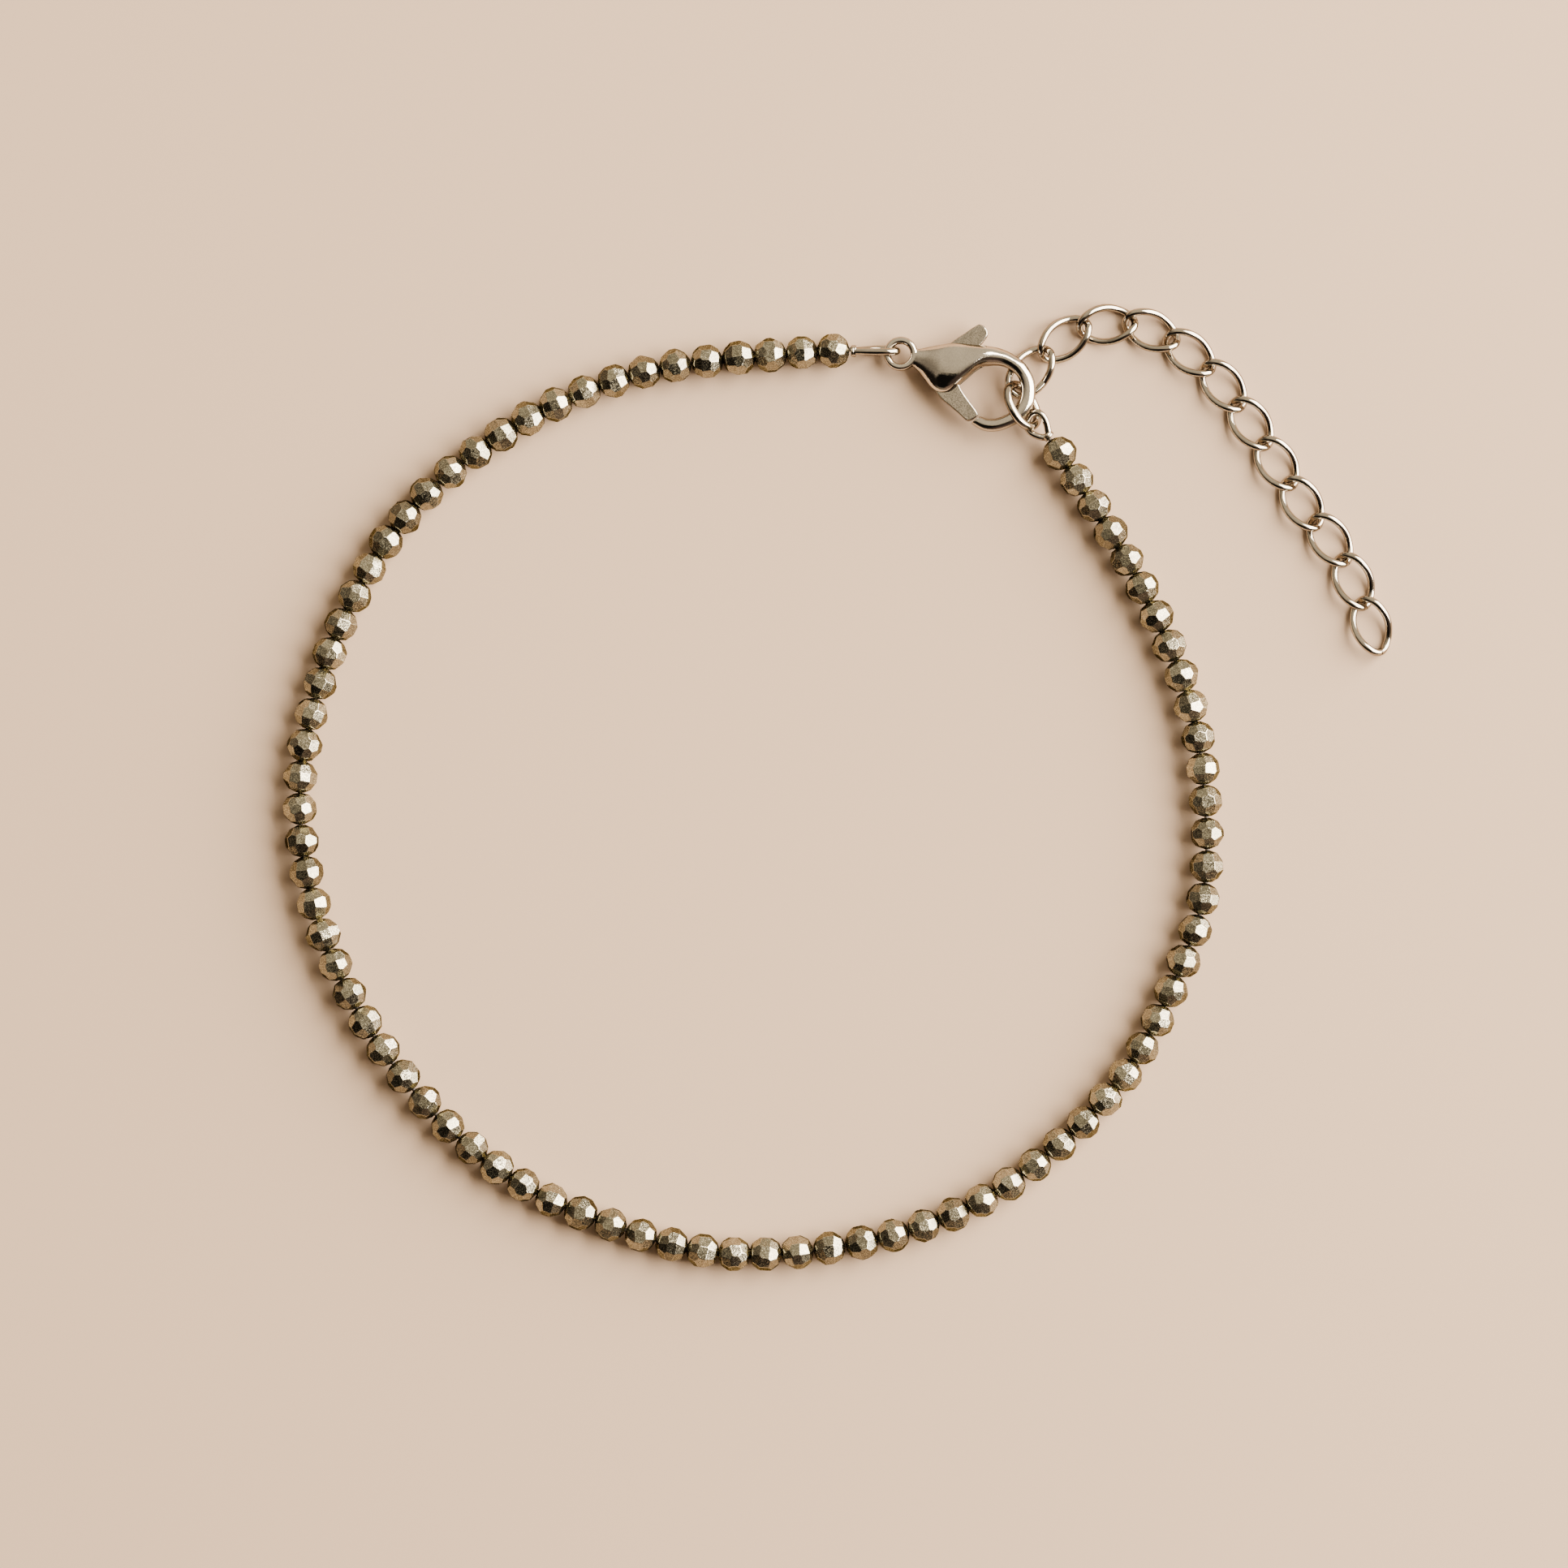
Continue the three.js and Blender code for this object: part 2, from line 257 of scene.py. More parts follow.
def runTree(carrier, tree, values, name):
    modifier = carrier.modifiers.new(tree.name, "NODES")
    modifier.node_group = tree
    for item in tree.interface.items_tree:
        if item.in_out == "INPUT" and item.name in values:
            modifier[item.identifier] = values[item.name]
    mesh = evaluatedMesh(carrier, name)
    carrier.modifiers.remove(modifier)
    return mesh


def randomValue(tree, enter, kind, low, high, offset, spot):
    # one random number for each point or instance, from the tree's seed
    node = addNode(tree, "FunctionNodeRandomValue", spot, data_type=kind)
    slots = {"FLOAT": (2, 3), "INT": (4, 5), "FLOAT_VECTOR": (0, 1)}[kind]
    for slot, value in zip(slots, (low, high)):
        if isinstance(value, bpy.types.NodeSocket):
            tree.links.new(value, node.inputs[slot])
        else:
            node.inputs[slot].default_value = value
    seed = addNode(tree, "ShaderNodeMath", (spot[0] - 200, spot[1]), operation="ADD")
    tree.links.new(enter.outputs["Seed"], seed.inputs[0])
    seed.inputs[1].default_value = offset
    tree.links.new(seed.outputs[0], node.inputs["Seed"])
    out = {"FLOAT": 1, "INT": 2, "FLOAT_VECTOR": 0}[kind]
    return node.outputs[out]


def realizeAndPaint(tree, enter, leave, geometry, x):
    # how every tree ends: plain geometry in the given material
    real = addNode(tree, "GeometryNodeRealizeInstances", (x, 0))
    paint = addNode(tree, "GeometryNodeSetMaterial", (x + 200, 0))
    tree.links.new(geometry, real.inputs[0])
    tree.links.new(real.outputs[0], paint.inputs["Geometry"])
    tree.links.new(enter.outputs["Material"], paint.inputs["Material"])
    tree.links.new(paint.outputs[0], leave.inputs[0])


def wireNodes(tree, enter, line, spot):
    # round wire along a line, with flat ends
    link = tree.links.new
    section = addNode(tree, "GeometryNodeCurvePrimitiveCircle", (spot[0], spot[1] - 200))
    radius = addNode(tree, "ShaderNodeMath", (spot[0] - 200, spot[1] - 200), operation="MULTIPLY")
    radius.inputs[1].default_value = 0.5
    link(enter.outputs["Wire"], radius.inputs[0])
    link(radius.outputs[0], section.inputs["Radius"])
    link(enter.outputs["Sides"], section.inputs["Resolution"])
    wire = addNode(tree, "GeometryNodeCurveToMesh", (spot[0] + 200, spot[1]))
    wire.inputs["Fill Caps"].default_value = True
    link(line, wire.inputs["Curve"])
    link(section.outputs[0], wire.inputs["Profile Curve"])
    return wire.outputs[0]


def wireTree():
    tree, enter, leave = newTree("wireAlong", [
        ("Wire", "NodeSocketFloat"), ("Sides", "NodeSocketInt"), ("Material", "NodeSocketMaterial"),
    ])
    realizeAndPaint(tree, enter, leave, wireNodes(tree, enter, enter.outputs["Geometry"], (-200, 0)), 200)
    return tree


# beads, all lengths in millimetres and angles in degrees
strand = {
    "beads": 82,
    "length": 2.66,  # one bead along its hole
    "flat": 1.345,  # from the middle to a facet
    "flatSpread": (0.98, 1.01),  # between the facets of one bead
    "height": 1.42,  # of the thread over the floor
    "hole": 0.24,  # radius
    "holeDepth": 0.28,
    "sizeSpread": 0.02,
    "tilt": 5,  # a bead leans this much on the thread, at most
    "variants": 9,
    "edge": 0.028,  # polished edge between two facets
    "facetRows": ((-65, 7), (-33, 9), (0, 9), (33, 9), (65, 7)),  # lean and number of facets
    "aroundStray": 0.15,  # of a facet's own width
    "leanStray": 5,
    "seed": 11,
}
# how a bead is cut
cutting = {
    "blank": 4,  # width of the block
    "weld": 0.01,  # shorter edges melt away
    "endFacing": 0.999,  # how squarely a drilled end faces along the hole
    "endArea": 0.3,
    "leastRim": 0.03,  # left round the hole
    "sameFacing": 0.9995,  # less than this and a face is an eased edge
}

# the thread at every third bead, from the clasp's end to the jump ring's end
threadPoints = [
    (-0.4, 36.4), (-8.3, 35.8), (-16.2, 34.6), (-23.6, 31.9), (-30.3, 27.9), (-36.2, 22.5), (-40.4, 15.9),
    (-43.3, 8.6), (-44.9, 0.8), (-44.4, -7.2), (-42.0, -14.9), (-38.0, -22.0), (-32.6, -28.4), (-26.3, -33.3),
    (-19.0, -36.6), (-11.3, -38.8), (-3.4, -38.9), (4.6, -37.5), (12.0, -34.6), (18.5, -29.9), (24.0, -24.1),
    (27.8, -17.1), (30.5, -9.4), (30.7, -1.2), (29.5, 6.7), (26.6, 14.2), (22.8, 21.2), (18.5, 27.8),
]

stoneLook = {
    "cell": 0.055,
    "cloud": 1.6,
    "glint": 0.16,
    "tones": [(0.0, (0.2, 0.182, 0.136, 1)), (0.5, (0.31, 0.286, 0.218, 1)), (1.0, (0.44, 0.41, 0.315, 1))],
    "crystals": [
        (0.0, (0.32, 0.3, 0.27, 1)), (0.45, (0.8, 0.78, 0.74, 1)), (0.8, (1.05, 1.02, 0.95, 1)),
        (1.0, (2.0, 1.95, 1.7, 1)),
    ],
    "crystalShare": 0.8,
    # a lighter colour for the eased edges between facets: a painted highlight along them
    "edge": (0.64, 0.57, 0.43, 1),
    "edgeHighlightShare": 0.4,
    "rough": 0.14,
    "roughSpread": 0.16,
    "rim": (0.16, 0.16, 0.11, 1),  # darker where it is seen edge on
}


def beadMaterial(look):
    # dark brassy stone: every bead and facet has its own tone, small crystals glint, and the eased edges get
    # a lighter colour, a painted highlight along the facet edges
    material, tree, shader = newMaterial("brassyStone")
    link = tree.links.new
    grain = groupNode(tree, grainGroup, (-900, 0), {
        "Cell Size": look["cell"], "Cloud Size": look["cloud"], "Glint": look["glint"],
    })
    beadTone = addNode(tree, "ShaderNodeAttribute", (-900, 300), attribute_name="beadTone")
    facetTone = addNode(tree, "ShaderNodeAttribute", (-900, 500), attribute_name="facetTone")
    edgeHighlight = addNode(tree, "ShaderNodeAttribute", (-900, 700), attribute_name="edgeHighlight")
    tone = mathNode(tree, (-650, 300), "ADD", beadTone.outputs["Fac"], facetTone.outputs["Fac"])
    tone = mathNode(tree, (-500, 300), "MULTIPLY", tone, 0.5)  # their mean
    base = ramp(tree, (-350, 350), look["tones"])
    link(tone, base.inputs[0])
    crystals = ramp(tree, (-650, 0), look["crystals"])
    link(grain.outputs["Cell"], crystals.inputs[0])
    color = mixColor(
        tree, (-50, 300), look["crystalShare"], base.outputs[0], crystals.outputs[0], "MULTIPLY",
    )
    # the eased edges are mixed towards the lighter colour: a painted highlight
    highlightOnEdge = mathNode(tree, (-50, 520), "MULTIPLY", edgeHighlight.outputs["Fac"], look["edgeHighlightShare"])
    color = mixColor(tree, (120, 300), highlightOnEdge, color, look["edge"])
    link(color, shader.inputs["Base Color"])
    rough = mathNode(
        tree, (-200, -100), "MULTIPLY_ADD", grain.outputs["Cell"], look["roughSpread"], look["rough"],
    )
    link(rough, shader.inputs["Roughness"])
    shader.inputs["Metallic"].default_value = 1
    shader.inputs["Specular Tint"].default_value = look["rim"]
    link(grain.outputs["Normal"], shader.inputs["Normal"])
    return material


def beadStringTree():
    tree, enter, leave = newTree("beadString", [
        ("Beads", "NodeSocketCollection"), ("Variants", "NodeSocketInt"), ("Size Spread", "NodeSocketFloat"),
        ("Tilt", "NodeSocketFloat"), ("Seed", "NodeSocketInt"), ("Material", "NodeSocketMaterial"),
    ])
    link = tree.links.new
    points = addNode(tree, "GeometryNodeCurveToPoints", (-600, 200), mode="EVALUATED")
    link(enter.outputs["Geometry"], points.inputs["Curve"])
    beads = addNode(tree, "GeometryNodeCollectionInfo", (-600, -100))
    beads.inputs["Separate Children"].default_value = True
    beads.inputs["Reset Children"].default_value = True
    link(enter.outputs["Beads"], beads.inputs["Collection"])
    put = addNode(tree, "GeometryNodeInstanceOnPoints", (-200, 200))
    put.inputs["Pick Instance"].default_value = True
    link(points.outputs["Points"], put.inputs["Points"])
    link(points.outputs["Rotation"], put.inputs["Rotation"])
    link(beads.outputs[0], put.inputs["Instance"])
    kind = randomValue(tree, enter, "INT", 0, enter.outputs["Variants"], 1, (-600, -400))
    link(kind, put.inputs["Instance Index"])
    low = addNode(tree, "ShaderNodeMath", (-600, -600), operation="SUBTRACT")
    low.inputs[0].default_value = 1
    high = addNode(tree, "ShaderNodeMath", (-600, -750), operation="ADD")
    high.inputs[0].default_value = 1
    link(enter.outputs["Size Spread"], low.inputs[1])
    link(enter.outputs["Size Spread"], high.inputs[1])
    size = randomValue(tree, enter, "FLOAT", low.outputs[0], high.outputs[0], 2, (-300, -600))
    link(size, put.inputs["Scale"])
    # roll about the thread, and a slight lean
    lean = addNode(tree, "ShaderNodeCombineXYZ", (0, -200))
    back = addNode(tree, "ShaderNodeMath", (-300, -900), operation="MULTIPLY")
    back.inputs[1].default_value = -1
    link(enter.outputs["Tilt"], back.inputs[0])
    tilt = enter.outputs["Tilt"]
    link(randomValue(tree, enter, "FLOAT", back.outputs[0], tilt, 3, (-100, -800)), lean.inputs[0])
    link(randomValue(tree, enter, "FLOAT", back.outputs[0], tilt, 4, (-100, -1000)), lean.inputs[1])
    link(randomValue(tree, enter, "FLOAT", 0.0, 2 * math.pi, 5, (-100, -400)), lean.inputs[2])
    roll = addNode(tree, "GeometryNodeRotateInstances", (200, 200))
    link(put.outputs[0], roll.inputs[0])
    link(lean.outputs[0], roll.inputs["Rotation"])
    tone = addNode(tree, "GeometryNodeStoreNamedAttribute", (400, 200), data_type="FLOAT", domain="INSTANCE")
    tone.inputs["Name"].default_value = "beadTone"
    link(roll.outputs[0], tone.inputs["Geometry"])
    link(randomValue(tree, enter, "FLOAT", 0.0, 1.0, 6, (200, -200)), tone.inputs["Value"])
    realizeAndPaint(tree, enter, leave, tone.outputs[0], 600)
    return tree


def facetNormals(rng):
    # directions of a bead's facets, the hole along z
    # the rows run from one end to the other, each with its own turn
    normals = []
    for lean, around in strand["facetRows"]:
        start = rng.random()
        for k in range(around):
            stray = rng.uniform(-strand["aroundStray"], strand["aroundStray"])
            angle = (k + start + stray) / around * 2 * math.pi
            rise = math.radians(lean + rng.uniform(-strand["leanStray"], strand["leanStray"]))
            flat = math.cos(rise)
            normals.append(Vector((math.cos(angle) * flat, math.sin(angle) * flat, math.sin(rise))))
    return normals


def cutBead(name, rng):
    # a block cut by one plane for each facet, then its edges eased and its hole sunk in
    shape = bmesh.new()
    bmesh.ops.create_cube(shape, size=cutting["blank"])
    planes = [(normal, strand["flat"] * rng.uniform(*strand["flatSpread"])) for normal in facetNormals(rng)]
    planes += [(Vector((0, 0, side)), strand["length"] / 2) for side in (-1, 1)]
    for normal, distance in planes:
        cut = bmesh.ops.bisect_plane(
            shape, geom=shape.verts[:] + shape.edges[:] + shape.faces[:], dist=1e-5,
            plane_co=normal * distance, plane_no=normal, clear_outer=True,
        )
        rim = [e for e in cut["geom_cut"] if isinstance(e, bmesh.types.BMEdge)]
        if rim:
            bmesh.ops.contextual_create(shape, geom=rim)
    bmesh.ops.dissolve_degenerate(shape, dist=cutting["weld"], edges=shape.edges)
    bmesh.ops.recalc_face_normals(shape, faces=shape.faces)
    # every facet's direction and tone, kept for the faces that come out of the easing
    marks = [(face.normal.copy(), rng.random()) for face in shape.faces]
    bmesh.ops.bevel(
        shape, geom=shape.edges[:], offset=strand["edge"], segments=1, affect="EDGES",
        profile=0.5, clamp_overlap=True,
    )
    ends = [
        f for f in shape.faces
        if abs(f.normal.z) > cutting["endFacing"] and f.calc_area() > cutting["endArea"]
    ]
    for face in ends:
        reach = min((edge.verts[0].co + edge.verts[1].co).xy.length / 2 for edge in face.edges)
        rim = max(cutting["leastRim"], reach - strand["hole"])
        bmesh.ops.inset_individual(shape, faces=[face], thickness=rim)
        bmesh.ops.translate(shape, verts=face.verts, vec=face.normal * -strand["holeDepth"])
    facet = shape.faces.layers.float.new("facetTone")
    # eased edges are marked for the material's lighter edge colour, a painted highlight along the facet edges
    edge = shape.faces.layers.float.new("edgeHighlight")
    for face in shape.faces:
        near = max(marks, key=lambda mark: mark[0].dot(face.normal))
        isFacet = near[0].dot(face.normal) > cutting["sameFacing"]
        face[facet] = near[1]
        face[edge] = 0 if isFacet else 1
    mesh = bpy.data.meshes.new(name)
    shape.to_mesh(mesh)
    shape.free()
    return addPiece(name, mesh)


def beadPlaces():
    step = (len(threadPoints) - 1) / (strand["beads"] - 1)
    return [(*splineAt(threadPoints, bead * step), strand["height"]) for bead in range(strand["beads"])]


def makeBeads():
    rng = random.Random(strand["seed"])
    kinds = bpy.data.collections.new("beadKinds")
    bpy.context.scene.collection.children.link(kinds)
    variants = []
    for k in range(strand["variants"]):
        bead = cutBead(f"beadKind{k}", rng)
        bpy.context.scene.collection.objects.unlink(bead)
        kinds.objects.link(bead)
        variants.append(bead)
    line = lineObject("threadLine", beadPlaces())
    mesh = runTree(line, beadStringTree(), {
        "Beads": kinds, "Variants": strand["variants"] - 1, "Size Spread": strand["sizeSpread"],
        "Tilt": math.radians(strand["tilt"]), "Seed": strand["seed"], "Material": stone,
    }, "beads")
    mesh.shade_flat()
    discard(line, *variants)
    bpy.data.collections.remove(kinds)
    nodes = sorted(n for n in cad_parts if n.startswith("strand_"))
    return finishPiece("beads", mesh, Matrix.Identity(4), "anklet", "stone", *nodes)


thread = {
    "diameter": 0.36,
    "reach": 0.62,  # of a bead's step, past the last bead's middle into the crimp
    "steps": 4,  # from one bead to the next
    "sides": 8,
    "dark": (0.035, 0.024, 0.016, 1),
    "worn": (0.09, 0.065, 0.045, 1),
    "tonesAt": (0.2, 0.8),
    "rough": 0.6,
    "cell": 0.05,
    "cloud": 0.6,
    "glint": 0.3,
}


def threadMaterial():
    material, tree, shader = newMaterial("threadCord")
    grain = groupNode(tree, grainGroup, (-700, 0), {
        "Cell Size": thread["cell"], "Cloud Size": thread["cloud"], "Glint": thread["glint"],
    })
    color = ramp(tree, (-350, 200), list(zip(thread["tonesAt"], (thread["dark"], thread["worn"]))))
    tree.links.new(grain.outputs["Cloud"], color.inputs[0])
    tree.links.new(color.outputs[0], shader.inputs["Base Color"])
    tree.links.new(grain.outputs["Normal"], shader.inputs["Normal"])
    shader.inputs["Roughness"].default_value = thread["rough"]
    return material


def makeThread(tree):
    points = beadPlaces()
    steps = thread["steps"]
    dense = [splineAt(points, k / steps) for k in range(steps * (len(points) - 1) + 1)]
    reach = thread["reach"]
    first = [p - reach * (q - p) for p, q in zip(points[0], points[1])]
    last = [p + reach * (p - q) for p, q in zip(points[-1], points[-2])]
    line = lineObject("cordLine", [first, *dense, last])
    mesh = runTree(line, tree, {
        "Wire": thread["diameter"], "Sides": thread["sides"], "Material": cordFinish,
    }, "thread")
    mesh.shade_smooth()
    discard(line)
    return finishPiece("thread", mesh, Matrix.Identity(4), "anklet", "stone")


# plated metal: two tones in soft clouds, how far the cells differ, their sizes, and how worn it is
castLook = {
    "dull": (0.50, 0.45, 0.375, 1), "bright": (0.66, 0.595, 0.50, 1), "speckle": 0.12,
    "cell": 0.08, "cloud": 2.4, "glint": 0.03, "rough": 0.05, "wear": 0.08,
}
leverLook = {
    "dull": (0.47, 0.415, 0.335, 1), "bright": (0.56, 0.495, 0.40, 1), "speckle": 0.5,
    "cell": 0.062, "cloud": 1.4, "glint": 0.09, "rough": 0.12, "wear": 0.1,
}
wireLook = {
    "dull": (0.35, 0.305, 0.245, 1), "bright": (0.53, 0.47, 0.385, 1), "speckle": 0.1,
    "cell": 0.06, "cloud": 1.8, "glint": 0.03, "rough": 0.05, "wear": 0.1,
}
plateRim = (0.28, 0.25, 0.22, 1)  # darker where it is seen edge on
plateTonesAt = (0.25, 0.75)  # dull below and bright above, of the clouds' own value


def plateMaterial(name, look):
    # bright plated metal with a warm cast, soft handling marks and a fine grain
    material, tree, shader = newMaterial(name)
    link = tree.links.new
    grain = groupNode(tree, grainGroup, (-900, 0), {
        "Cell Size": look["cell"], "Cloud Size": look["cloud"], "Glint": look["glint"],
    })
    plate = ramp(tree, (-550, 300), list(zip(plateTonesAt, (look["dull"], look["bright"]))))
    speckle = ramp(tree, (-550, 50), [(0.0, (1 - look["speckle"],) * 3 + (1,)), (1.0, (1, 1, 1, 1))])
    link(grain.outputs["Cloud"], plate.inputs[0])
    link(grain.outputs["Cell"], speckle.inputs[0])
    color = mixColor(tree, (-200, 300), 1.0, plate.outputs[0], speckle.outputs[0], "MULTIPLY")
    link(color, shader.inputs["Base Color"])
    rough = mathNode(
        tree, (-200, -100), "MULTIPLY_ADD", grain.outputs["Cloud"], look["wear"], look["rough"],
    )
    link(rough, shader.inputs["Roughness"])
    shader.inputs["Metallic"].default_value = 1
    shader.inputs["Specular Tint"].default_value = plateRim
    link(grain.outputs["Normal"], shader.inputs["Normal"])
    return material


clampLoop = {
    "wire": 0.6,
    "sides": 20,
    "steps": 8,
    "points": [
        (1.3, 36.36, 1.5), (2.3, 36.3, 1.86), (3.2, 36.27, 2.08), (4.05, 36.27, 2.14), (4.72, 36.3, 1.86),
        (4.93, 36.4, 1.24), (4.7, 36.52, 0.62), (4.02, 36.6, 0.32), (3.2, 36.6, 0.38), (2.3, 36.5, 0.84),
        (1.3, 36.38, 1.22),
    ],
}
farLoop = {
    "wire": 0.56,
    "sides": 20,
    "steps": 8,
    "points": [
        (17.5, 29.25, 1.36), (17.1, 29.16, 1.4), (16.6, 29.28, 1.42), (16.1, 29.56, 1.36), (15.8, 30.05, 1.3),
        (15.84, 30.65, 1.34), (16.12, 31.1, 1.46), (16.6, 31.26, 1.58), (17.08, 30.95, 1.62),
        (17.42, 30.3, 1.56), (17.62, 29.3, 1.4),
    ],
}
crimp = {
    "radius": 0.5,
    "length": 0.45,
    "sides": 28,
    # shares of the radius and of the length, with rounded rims and a shallow waist
    "profile": [
        (0.3, -0.5), (0.82, -0.5), (0.97, -0.36), (1.0, -0.1), (0.94, 0.0), (1.0, 0.1), (0.97, 0.36),
        (0.82, 0.5), (0.3, 0.5),
    ],
}


def crimpMesh(tip, away):
    # a short tube squeezed on the wire ends
    rings = []
    for share, along in crimp["profile"]:
        ring = circle((0, 0), share * crimp["radius"], crimp["sides"])
        rings.append([(x, y, along * crimp["length"]) for x, y in ring])
    mesh = loftMesh("crimp", rings)
    mesh.transform(Matrix.Translation(tip) @ away.to_track_quat("Z", "Y").to_matrix().to_4x4())
    mesh.materials.append(wirePlate)
    return mesh


def joinMeshes(name, meshes):
    # several meshes with the same one material in one
    shape = bmesh.new()
    for mesh in meshes:
        shape.from_mesh(mesh)
    bmesh.ops.recalc_face_normals(shape, faces=shape.faces)
    joined = bpy.data.meshes.new(name)
    shape.to_mesh(joined)
    shape.free()
    joined.materials.append(meshes[0].materials[0])
    return joined


def makeEndLoop(name, node, loop, tree):
    points = loop["points"]
    steps = loop["steps"]
    dense = [splineAt(points, k / steps) for k in range(steps * (len(points) - 1) + 1)]
    line = lineObject(name + "Line", dense)
    wire = runTree(line, tree, {
        "Wire": loop["wire"], "Sides": loop["sides"], "Material": wirePlate,
    }, name)
    discard(line)
    tip = (Vector(points[0]) + Vector(points[-1])) / 2
    away = tip - Vector(points[len(points) // 2])
    away.z = 0
    mesh = joinMeshes(name, [wire, crimpMesh(tip, away.normalized())])
    smoothWire(mesh)
    return finishPiece(name, mesh, Matrix.Identity(4), "anklet", "wire_plate", node)


ovalFullness = 0.86  # 1 is a plain ellipse, and less is fuller at the ends


def ovalPoints(oval, seamAt, farTwist, nearTwist):
    # an oval of wire cut at seamAt, its far end twisted one way and its near end the other
    points = []
    gap = oval["seam"] / oval["width"]
    for k in range(oval["steps"] + 1):
        angle = math.radians(seamAt) + gap + k / oval["steps"] * (2 * math.pi - 2 * gap)
        twist = -math.cos(angle) * math.radians(farTwist if math.cos(angle) > 0 else nearTwist)
        out = oval["width"] / 2 * math.copysign(abs(math.sin(angle)) ** ovalFullness, math.sin(angle))
        points.append((oval["length"] / 2 * math.cos(angle), out * math.cos(twist), out * math.sin(twist)))
    return points


jumpRing = {
    "place": (15.4, 31.8, 1.71),
    "turn": (-53, 3.4, -60.6),  # degrees about its length, its width and up
    "length": 3.8,
    "width": 3.32,
    "wire": 0.7,
    "seam": 0.04,
    "seamAt": 90,
    "steps": 96,
    "sides": 24,
}


def makeJumpRing(tree):
    line = lineObject("ringLine", ovalPoints(jumpRing, jumpRing["seamAt"], 0, 0))
    mesh = runTree(line, tree, {
        "Wire": jumpRing["wire"], "Sides": jumpRing["sides"], "Material": wirePlate,
    }, "jumpRing")
    discard(line)
    smoothWire(mesh)
    place = Matrix.Translation(jumpRing["place"]) @ straightTurn(jumpRing["turn"])
    return finishPiece("jumpRing", mesh, place, "anklet", "wire_plate", "jump_ring")


chain = {
    "length": 4.64,
    "width": 2.86,
    "wire": 0.6,
    "twist": 42,
    "seam": 0.05,
    "seamAt": 0,
    "steps": 96,
    "sides": 20,
    "height": 0.81,
    "firstHeight": 1.02,  # it leans on the jump ring
    "firstPitch": 4.5,
}
# the middle of each link and its heading in degrees, from the clasp to the free end
linkPlaces = [
    (16.11, 34.68, 52), (18.94, 37.43, 37), (22.51, 38.62, 5), (26.21, 38.11, -25),
    (29.41, 36.24, -39), (32.24, 33.48, -52), (34.54, 30.33, -55), (36.72, 27.0, -57),
    (38.83, 23.66, -59), (41.17, 20.6, -55), (43.12, 17.15, -67), (44.61, 13.43, -72),
]


def linkTree():
    # one wire link on each point, turned by the point's own linkTurn
    tree, enter, leave = newTree("chainLinks", [
        ("Link Line", "NodeSocketObject"), ("Wire", "NodeSocketFloat"), ("Sides", "NodeSocketInt"),
        ("Material", "NodeSocketMaterial"),
    ])
    link = tree.links.new
    line = addNode(tree, "GeometryNodeObjectInfo", (-600, -100))
    link(enter.outputs["Link Line"], line.inputs["Object"])
    turn = addNode(tree, "GeometryNodeInputNamedAttribute", (-600, -400), data_type="FLOAT_VECTOR")
    turn.inputs["Name"].default_value = "linkTurn"
    put = addNode(tree, "GeometryNodeInstanceOnPoints", (100, 0))
    link(enter.outputs["Geometry"], put.inputs["Points"])
    link(wireNodes(tree, enter, line.outputs["Geometry"], (-200, -100)), put.inputs["Instance"])
    toTurn = addNode(tree, "FunctionNodeEulerToRotation", (-350, -400))
    link(turn.outputs[0], toTurn.inputs[0])
    link(toTurn.outputs[0], put.inputs["Rotation"])
    realizeAndPaint(tree, enter, leave, put.outputs[0], 300)
    return tree


def makeLinks(name, places, height, pitch, nearTwist, tree, nodes):
    line = lineObject("linkLine", ovalPoints(chain, chain["seamAt"], chain["twist"], nearTwist))
    spots = meshFrom("linkSpots", [(x, y, height) for x, y, heading in places], [])
    turns = spots.attributes.new("linkTurn", "FLOAT_VECTOR", "POINT")
    for spot, (x, y, heading) in zip(turns.data, places):
        spot.vector = (0, math.radians(pitch), math.radians(heading))
    carrier = addPiece("linkSpots", spots)
    mesh = runTree(carrier, tree, {
        "Link Line": line, "Wire": chain["wire"], "Sides": chain["sides"], "Material": wirePlate,
    }, name)
    discard(line, carrier)
    smoothWire(mesh)
    return finishPiece(name, mesh, Matrix.Identity(4), "anklet", "wire_plate", *nodes)


# clasp, drawn flat with u along it and v across it
clasp = {
    "place": (5.24, 36.14, 1.3),  # the eye's middle
    "turn": -24.2,
    "lift": 4,  # the hook's end lies higher
    "eyeOuter": 1.43,
    "eyeInner": 0.82,
    "eyeHalf": 0.48,
    "eyeSquare": 2.6,
    "eyeTurns": 72,
    "eyeSides": 28,
    "slotHalf": 0.49,
    "pin": (4.2, 1.2),
    "pinRadius": 0.4,
    "pinSides": 24,
    "pinHalf": 1.0,
    "loftSteps": 9,  # from one section to the next
    "loftSides": 56,
    "voxel": 0.046,
    "easeFactor": 0.5,
    "easeRounds": 9,
}
